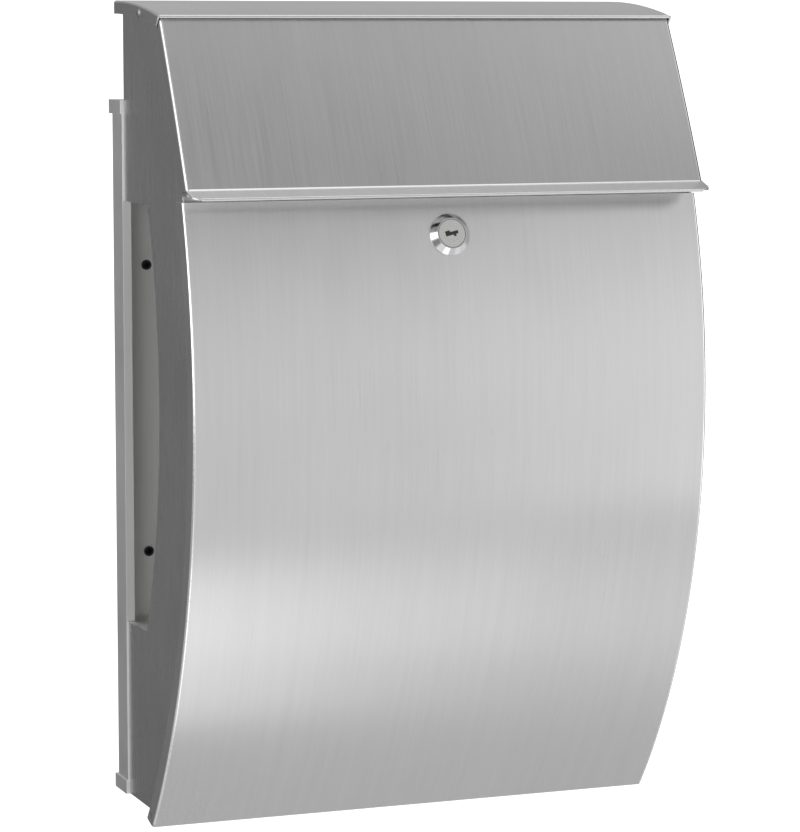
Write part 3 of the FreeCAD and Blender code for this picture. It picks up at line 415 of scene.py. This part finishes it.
def plated_metal(name, colour, roughness, bump_strength=0.2, turned=False):
    """Metal with a fine plated grain, or with turning marks about the lock's axis."""
    material, tree, shader = new_material(name)
    place = add_node(tree, "ShaderNodeTexCoord").outputs["Object"]
    marks = stretched_noise(tree, [PLATED_CELLS] * 3, detail=2.0, place=place)
    if turned:
        marks = turning_marks(tree, place, marks)
    on_edge = edge_mask(tree)
    shade = map_range(tree, marks, *TURNED_SHADE)
    shade = maths(tree, "MULTIPLY", shade, map_range(tree, on_edge, 1.0, TURNED_WEAR, 0.0, 1.0))
    tree.links.new(scaled_colour(tree, colour, shade), shader.inputs["Base Color"])
    smooth, coarse = (roughness + change for change in TURNED_ROUGHNESS)
    tree.links.new(map_range(tree, marks, smooth, coarse), shader.inputs["Roughness"])
    shader.inputs["Metallic"].default_value = 1.0
    bump = add_node(tree, "ShaderNodeBump", Strength=bump_strength, Distance=TURNED_DEPTH)
    tree.links.new(marks, bump.inputs["Height"])
    tree.links.new(bump.outputs[0], shader.inputs["Normal"])
    return material


DUST_CELLS = 60
DUST_SHADE = 0.5
SKIN_SHADE = 0.15
MOULDED_ROUGHNESS = (-0.06, 0.08)  # below and above the material's own
SKIN_BUMP = 0.5
SKIN_DEPTH = 0.05 * MM


def moulded(name, colour, roughness, grain=1400):
    """Moulded black plastic or rubber with a fine skin grain and a little dust."""
    material, tree, shader = new_material(name)
    skin = stretched_noise(tree, [grain] * 3, detail=2.0)
    dust = stretched_noise(tree, [DUST_CELLS] * 3)
    dusty = map_range(tree, dust, 0, DUST_SHADE)
    shade = maths(tree, "ADD", varied(tree, skin, SKIN_SHADE), dusty)
    tree.links.new(scaled_colour(tree, colour, shade), shader.inputs["Base Color"])
    smooth, coarse = (roughness + change for change in MOULDED_ROUGHNESS)
    tree.links.new(map_range(tree, dust, smooth, coarse), shader.inputs["Roughness"])
    bump = add_node(tree, "ShaderNodeBump", Strength=SKIN_BUMP, Distance=SKIN_DEPTH)
    tree.links.new(skin, bump.inputs["Height"])
    tree.links.new(bump.outputs[0], shader.inputs["Normal"])
    return material


def make_materials():
    return {
        "side_steel": brushed_steel("side_steel", (0.58, 0.58, 0.59), 0.27, "Y", contrast=0.5),
        # Painted light: the inner and pan sheets are lighter than the outer steel, so the shaded interior reads
        # bright
        "inner_steel": brushed_steel("inner_steel", (0.82, 0.83, 0.79), 0.50),
        "pan_steel": brushed_steel("pan_steel", (0.84, 0.84, 0.84), 0.55, contrast=0.7),
        # The hood's edges and bends are painted brighter still, as a highlight on its bends
        "hood_steel": brushed_steel("hood_steel", (0.68, 0.68, 0.685), 0.32, wear_and_highlight=0.42),
        "door_steel": brushed_steel("door_steel", (0.71, 0.71, 0.715), 0.32, contrast=0.55),
        # Painted highlight: a lighter, smoother copy of the sheet steel for the skins over the bends
        "painted_highlight_bend": plated_metal("painted_highlight_bend", (0.95, 0.95, 0.95), 0.20, 0.04),
        "rivet_steel": plated_metal("rivet_steel", (0.36, 0.36, 0.36), 0.42),
        "lock_chrome": plated_metal("lock_chrome", (0.86, 0.86, 0.87), 0.10, 0.06, turned=True),
        "plug_nickel": plated_metal("plug_nickel", (0.82, 0.82, 0.80), 0.26, 0.3, turned=True),
        "zinc_steel": plated_metal("zinc_steel", (0.66, 0.66, 0.62), 0.32),
        "black_plastic": moulded("black_plastic", (0.020, 0.020, 0.021), 0.48),
        "black_rubber": moulded("black_rubber", (0.028, 0.028, 0.028), 0.72, grain=900),
    }


def dress_nodes(materials):
    """Every CAD node takes the material of its slot in the record."""
    for part in frame["record"]["subparts"]:
        slots = NODES[part["node"]].data.materials
        slots.clear()
        slots.append(materials[part["material_slot"]])


# --- Pieces --------------------------------------------------------------------------------


def add_piece(name, points, faces, body, slot, materials, smooth=True, finish=None):
    mesh = bpy.data.meshes.new(name)
    mesh.from_pydata([tuple(point) for point in points], [], faces)
    mesh.materials.append(materials[finish or slot])
    for face in mesh.polygons:
        face.use_smooth = smooth
    mesh.update()
    piece = bpy.data.objects.new(name, mesh)
    bpy.context.scene.collection.objects.link(piece)
    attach(piece, body)
    return piece


def point_about(centre, axis, radius, angle, height):
    """A point about an axis that is square to X; height runs along it from the centre."""
    side = Vector((1, 0, 0))
    around = side * math.cos(angle) + axis.cross(side) * math.sin(angle)
    return centre + around * radius + axis * height


def lock_point(radius, angle, height):
    """A point about the lock's axis; height 0 is the door's face and + is outward."""
    return point_about(LOCK_CENTRE, LOCK_AXIS, radius, angle, height)


def lathe(name, centre, axis, profile, body, slot, materials, steps=96):
    """A closed ring turned about an axis from (radius, height) points."""
    points = []
    faces = []
    count = len(profile)
    for step in range(steps):
        angle = math.tau * step / steps
        for radius, height in profile:
            points.append(point_about(centre, axis, radius, angle, height))
    for step in range(steps):
        here, after = step * count, (step + 1) % steps * count
        for index in range(count):
            other = (index + 1) % count
            faces.append((here + index, here + other, after + other, after + index))
    return add_piece(name, points, faces, body, slot, materials)


BARREL_RADIUS = 9.5 * MM
THREAD_PITCH = 1.0 * MM
THREAD_HALF = 0.45 * MM  # half the ridge's width at its root
THREAD_HEIGHT = 0.35 * MM
THREAD_SINK = 0.1 * MM  # of the root into the barrel
THREAD_TOP = -5.8 * MM
THREAD_END = -17.6 * MM
THREAD_STEPS = 48  # per turn
THREAD_RUN_OUT = 0.5  # turns over which the ridge rises from the barrel
THREAD_START = 0.05  # share of the ridge's height at its very ends


def barrel_thread(materials):
    """The thread's ridge on the lock barrel, behind the nut."""
    turns = (THREAD_TOP - THREAD_END) / THREAD_PITCH
    steps = int(turns * THREAD_STEPS)
    run_out = THREAD_STEPS * THREAD_RUN_OUT
    root = BARREL_RADIUS - THREAD_SINK
    points = []
    faces = []
    for step in range(steps + 1):
        angle = math.tau * step / THREAD_STEPS
        height = THREAD_TOP - THREAD_PITCH * step / THREAD_STEPS
        taper = min(1.0, step / run_out, (steps - step) / run_out)
        crest = root + (THREAD_HEIGHT + THREAD_SINK) * max(taper, THREAD_START)
        points.append(lock_point(root, angle, height + THREAD_HALF))
        points.append(lock_point(crest, angle, height))
        points.append(lock_point(root, angle, height - THREAD_HALF))
    for step in range(steps):
        base = step * 3
        for index, other in ((0, 1), (1, 2), (2, 0)):
            faces.append((base + index, base + other, base + 3 + other, base + 3 + index))
    faces.append((0, 2, 1))
    last = steps * 3
    faces.append((last, last + 1, last + 2))
    add_piece("barrel_thread", points, faces, "door", "lock_chrome", materials)


COLLAR_HEIGHT = 4.7 * MM
SEAM_RADIUS = 9.45 * MM
SEAM_HALF = 0.16 * MM
SEAM_PROUD = 0.03 * MM
SEAM_DEPTH = 0.6 * MM


def plug_seam(materials):
    """The dark joint between the collar's bore and the plug's face."""
    top = COLLAR_HEIGHT + SEAM_PROUD
    low = COLLAR_HEIGHT - SEAM_DEPTH
    inner, outer = SEAM_RADIUS - SEAM_HALF, SEAM_RADIUS + SEAM_HALF
    profile = [(inner, low), (outer, low), (outer, top), (inner, top)]
    lathe("plug_seam", LOCK_CENTRE, LOCK_AXIS, profile, "door", "black_plastic", materials)


KEY_TOP = COLLAR_HEIGHT - 0.35 * MM
KEY_DEEP = COLLAR_HEIGHT - 3.0 * MM
KEY_LENGTH = 9.1 * MM
KEY_HALF = 1.05 * MM
KEY_WARD = 1.3 * MM  # how far a ward stands out from the slot
KEY_NEAR = 0.91 * MM  # from the middle to a ward's near side
KEY_FAR = 2.73 * MM
KEY_TILT = math.radians(14)


def keyway_shade(materials):
    """A black plate that fills the keyway's outline, wards and all, a little below the plug's face: painted shade
    for the keyway's depth.
    """
    half = KEY_LENGTH / 2
    thick = KEY_HALF + KEY_WARD
    outline = [
        (-half, -KEY_HALF),
        (KEY_NEAR, -KEY_HALF),
        (KEY_NEAR, -thick),
        (KEY_FAR, -thick),
        (KEY_FAR, -KEY_HALF),
        (half, -KEY_HALF),
        (half, KEY_HALF),
        (-KEY_NEAR, KEY_HALF),
        (-KEY_NEAR, thick),
        (-half, thick),
    ]
    points = []
    for height in (KEY_TOP, KEY_DEEP):
        for x, y in outline:
            angle = math.atan2(y, x) + KEY_TILT
            points.append(lock_point(math.hypot(x, y), angle, height))
    count = len(outline)
    faces = [tuple(range(count)), tuple(reversed(range(count, 2 * count)))]
    for index in range(count):
        after = (index + 1) % count
        faces.append((after, index, index + count, after + count))
    add_piece("keyway_shade", points, faces, "lock", "black_plastic", materials, smooth=False)


# --- Wall spacers --------------------------------------------------------------------------

SPACER_FOOT = 8.0 * MM  # radius
# Each web's (radius, distance from the wall), with a dimple in its middle for the screw
WEB_PROFILE = [
    (2.3 * MM, 2.0 * MM),
    (2.3 * MM, 2.7 * MM),
    (1.28 * MM, 2.7 * MM),
    (0.8 * MM, 3.05 * MM),
    (0.01 * MM, 2.28 * MM),
    (0.01 * MM, 2.0 * MM),
]
WEB_STEPS = 32


def spacer_webs(materials):
    """The thin moulded web that shuts each spacer's bore until a screw pierces it."""
    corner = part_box("wall_spacers")[1]
    outward = Vector((0, -1, 0))
    across, up = corner.x - SPACER_FOOT, corner.z - SPACER_FOOT
    for column, x in (("left", -across), ("right", across)):
        for row, z in (("lower", -up), ("upper", up)):
            lathe(
                f"spacer_web_{column}_{row}",
                Vector((x, 0, z)),
                outward,
                WEB_PROFILE,
                "cabinet",
                "black_plastic",
                materials,
                steps=WEB_STEPS,
            )


# --- Bends ---------------------------------------------------------------------------------

# The folded sheets' own sizes
DOOR_RADIUS = 468.0 * MM
DOOR_BELLY = 289.0 * MM  # most forward point above the door's bottom edge
DOOR_BEND = 1.6 * MM  # outer radius
FLAP_BEND = 2.0 * MM
FLAP_CROWN = 1.2 * MM  # how far the face bulges from straight
FLAP_RUN = 55.1 * MM
FLAP_RISE = 107.0 * MM
FLAP_BEYOND = 3.0 * MM  # how far the face goes past its run and rise
LIP_OVER_DOOR = 8.3 * MM  # the lip's fold above the door's top edge
LIP_AHEAD = 11.0 * MM  # and ahead of its face
# The skins over their bends, painted bright as highlights
BEND_PROUD = 0.03 * MM
BEND_SINK = 0.3 * MM
BEND_STEPS = 14
BEND_CREASE = math.radians(40)
DOOR_START = 2.2 * MM  # from the door's bottom edge
DOOR_STOP = 0.2 * MM  # from its top edge
DOOR_STEPS = 60
FLAP_STEPS = 40

DOOR_LOW, DOOR_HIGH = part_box("door_panel")
FLAP_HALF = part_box("flap")[1].x
DOOR_CENTRE_Y = DOOR_LOW.y + DOOR_RADIUS
BELLY_Z = DOOR_LOW.z + DOOR_BELLY


def door_front(z):
    """The point of the door's outer face at a height, and the outward normal there."""
    slope = math.asin((z - BELLY_Z) / DOOR_RADIUS)
    normal = Vector((0, -math.cos(slope), math.sin(slope)))
    return Vector((0, DOOR_CENTRE_Y, BELLY_Z)) + normal * DOOR_RADIUS, normal


FOLD = door_front(DOOR_HIGH.z)[0] + Vector((0, -LIP_AHEAD, LIP_OVER_DOOR))
FACE_UP = Vector((0, FLAP_RUN, FLAP_RISE)).normalized()
FACE_LENGTH = math.hypot(FLAP_RUN, FLAP_RISE) + FLAP_BEYOND
FACE_NORMAL = Vector((0, -FACE_UP.z, FACE_UP.y))


def add_bend(name, points, faces, body, slot, materials):
    """A skin painted brighter than its sheet as a highlight, smooth along its bend and sharp at its edges."""
    piece = add_piece(name, points, faces, body, slot, materials, finish="painted_highlight_bend")
    piece.data.set_sharp_from_angle(angle=BEND_CREASE)


def bend_strip(name, path, side_x, radius, body, slot, materials):
    """A smooth skin over the bend between a curved face and its side flange.  path gives the
    points of the face's outline with their outward normals."""
    across = Vector((math.copysign(1, side_x), 0, 0))
    points = []
    for place, normal in path:
        centre = place - normal * radius + Vector((side_x, 0, 0)) - across * radius
        for reach in (radius + BEND_PROUD, radius - BEND_SINK):
            for step in range(BEND_STEPS + 1):
                angle = math.pi / 2 * step / BEND_STEPS
                out = normal * math.cos(angle) + across * math.sin(angle)
                points.append(centre + out * reach)
    row = BEND_STEPS + 1
    around = list(range(row)) + list(range(2 * row - 1, row - 1, -1))
    size = 2 * row
    faces = []
    last = (len(path) - 1) * size
    for low in range(0, last, size):
        high = low + size
        for here, there in zip(around, around[1:] + around[:1]):
            faces.append((low + here, low + there, high + there, high + here))
    faces.append(tuple(reversed(around)))
    faces.append(tuple(last + number for number in around))
    if side_x < 0:
        faces = [tuple(reversed(face)) for face in faces]
    add_bend(name, points, faces, body, slot, materials)


def door_path():
    """The outline of the door's face from bottom to top, as (point, outward normal)."""
    low, high = DOOR_LOW.z + DOOR_START, DOOR_HIGH.z - DOOR_STOP
    return [door_front(low + (high - low) * step / DOOR_STEPS) for step in range(DOOR_STEPS + 1)]


def flap_path():
    """The outline of the flap's slightly bulging face from the lip up, in the same way."""
    path = []
    for step in range(FLAP_STEPS + 1):
        share = step / FLAP_STEPS
        bulge = FLAP_CROWN * 4 * share * (1 - share)
        place = FOLD + FACE_UP * (FACE_LENGTH * share) + FACE_NORMAL * bulge
        tilt = FLAP_CROWN * 4 * (1 - 2 * share) / FACE_LENGTH
        path.append((place, (FACE_NORMAL - FACE_UP * tilt).normalized()))
    return path


def side_bends(materials):
    """The bends between the door's and the flap's faces and their side flanges."""
    strips = (
        (door_path(), DOOR_HIGH.x, DOOR_BEND, "door", "door_steel"),
        (flap_path(), FLAP_HALF, FLAP_BEND, "flap", "hood_steel"),
    )
    for side, sign in (("left", -1), ("right", 1)):
        for path, half, radius, body, slot in strips:
            bend_strip(f"{body}_bend_{side}", path, sign * half, radius, body, slot, materials)


def long_strip(name, section, half, body, slot, materials):
    """A closed YZ section drawn out along X to both sides of the middle."""
    count = len(section)
    points = [point + Vector((x, 0, 0)) for x in (-half, half) for point in section]
    faces = [tuple(reversed(range(count))), tuple(range(count, 2 * count))]
    for index in range(count):
        after = (index + 1) % count
        faces.append((index, after, after + count, index + count))
    add_bend(name, points, faces, body, slot, materials)


LIP_SLOPE = math.radians(18)
LIP_OUT = Vector((0, -math.cos(LIP_SLOPE), -math.sin(LIP_SLOPE)))
LIP_UNDER = Vector((0, math.sin(LIP_SLOPE), -math.cos(LIP_SLOPE)))
LIP_LENGTH = 15.0 * MM
LIP_CORNER = 6.0 * MM  # radius of the lip's outer corners
HEM_RADIUS = 1.0 * MM
FOLD_REACH = 1.5 * MM  # from the fold's corner to where the fillet meets each sheet
FOLD_SINK = 0.2 * MM
FOLD_STEPS = 8
HEM_STEPS = 12


def lip_bends(materials):
    """The rounded inside of the fold between the flap's face and its lip, and the rolled
    edge of the lip's hem."""
    start = FOLD + FACE_UP * FOLD_REACH
    end = FOLD + LIP_OUT * FOLD_REACH
    section = [FOLD - (FACE_UP + LIP_OUT).normalized() * FOLD_SINK]
    for step in range(FOLD_STEPS + 1):
        share = step / FOLD_STEPS
        section.append(start.lerp(FOLD, share).lerp(FOLD.lerp(end, share), share))
    long_strip("lip_fold", section, FLAP_HALF - FLAP_BEND, "flap", "hood_steel", materials)
    centre = FOLD + LIP_OUT * (LIP_LENGTH - HEM_RADIUS) + LIP_UNDER * HEM_RADIUS
    section = []
    for step in range(HEM_STEPS + 1):
        angle = math.pi * step / HEM_STEPS
        out = LIP_OUT * math.sin(angle) - LIP_UNDER * math.cos(angle)
        section.append(centre + out * (HEM_RADIUS + BEND_PROUD))
    long_strip("hem_bend", section, FLAP_HALF - LIP_CORNER, "flap", "hood_steel", materials)


ROOF_RADIUS = 520.0 * MM
ROOF_BEND = 1.6 * MM
NOSE_REACH = 5.6 * MM  # roof's front edge ahead of the flap's pivot
NOSE_TOP = 7.2 * MM  # and above it
NOSE_HEIGHT = 1.8 * MM
NOSE_STEPS = 12


def nose_bend(materials):
    """The bend along the roof's front edge, down to the nose's lower edge, painted bright as a highlight."""
    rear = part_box("roof_cover")[1]
    pivot = Vector(JOINTS["flap_hinge"]["pos_m"])
    corner = Vector((0, pivot.y - NOSE_REACH, pivot.z + NOSE_TOP))
    slope = math.asin((rear.y - corner.y) / ROOF_RADIUS)
    drop = ROOF_BEND * (1 - math.sin(slope)) / math.cos(slope)
    centre = corner + Vector((0, ROOF_BEND, -drop))
    section = [
        corner + Vector((0, BEND_SINK, -NOSE_HEIGHT)),
        corner + Vector((0, -BEND_PROUD, -NOSE_HEIGHT)),
    ]
    for step in range(NOSE_STEPS + 1):
        angle = (math.pi / 2 - slope) * step / NOSE_STEPS
        out = Vector((0, -math.cos(angle), math.sin(angle)))
        section.append(centre + out * (ROOF_BEND + BEND_PROUD))
    section.append(section[-1] - out * BEND_SINK)
    long_strip("nose_bend", section, rear.x - ROOF_BEND, "cabinet", "hood_steel", materials)


# --- Floor ---------------------------------------------------------------------------------

FLOOR_COLOUR = (0.80, 0.80, 0.795)
FLOOR_ROUGHNESS = 0.6
FLOOR_CELLS = 3  # per metre, of a faint mottle
FLOOR_SIDES = 96


def make_floor():
    """A pale disc that isn't part of the mailbox."""
    material, tree, shader = new_material("floor")
    mottle = stretched_noise(tree, [FLOOR_CELLS] * 3, detail=4.0)
    shade = map_range(tree, mottle, 0.97, 1.0)
    tree.links.new(scaled_colour(tree, FLOOR_COLOUR, shade), shader.inputs["Base Color"])
    shader.inputs["Roughness"].default_value = FLOOR_ROUGHNESS
    bpy.ops.mesh.primitive_circle_add(
        vertices=FLOOR_SIDES, radius=FLOOR_RADIUS, fill_type="NGON", location=(0, 0, 0)
    )
    floor = bpy.context.object
    floor.name = "floor"
    centre = (cad_low + cad_high) / 2
    floor.location = (centre.x, centre.y, cad_low.z - FLOOR_DROP)
    floor.data.materials.append(material)


# --- Make it -------------------------------------------------------------------------------

bpy.context.scene.view_settings.view_transform = "Standard"
make_camera()
make_surround()
make_lights()
materials = make_materials()
dress_nodes(materials)
barrel_thread(materials)
plug_seam(materials)
keyway_shade(materials)
spacer_webs(materials)
side_bends(materials)
lip_bends(materials)
nose_bend(materials)
make_floor()
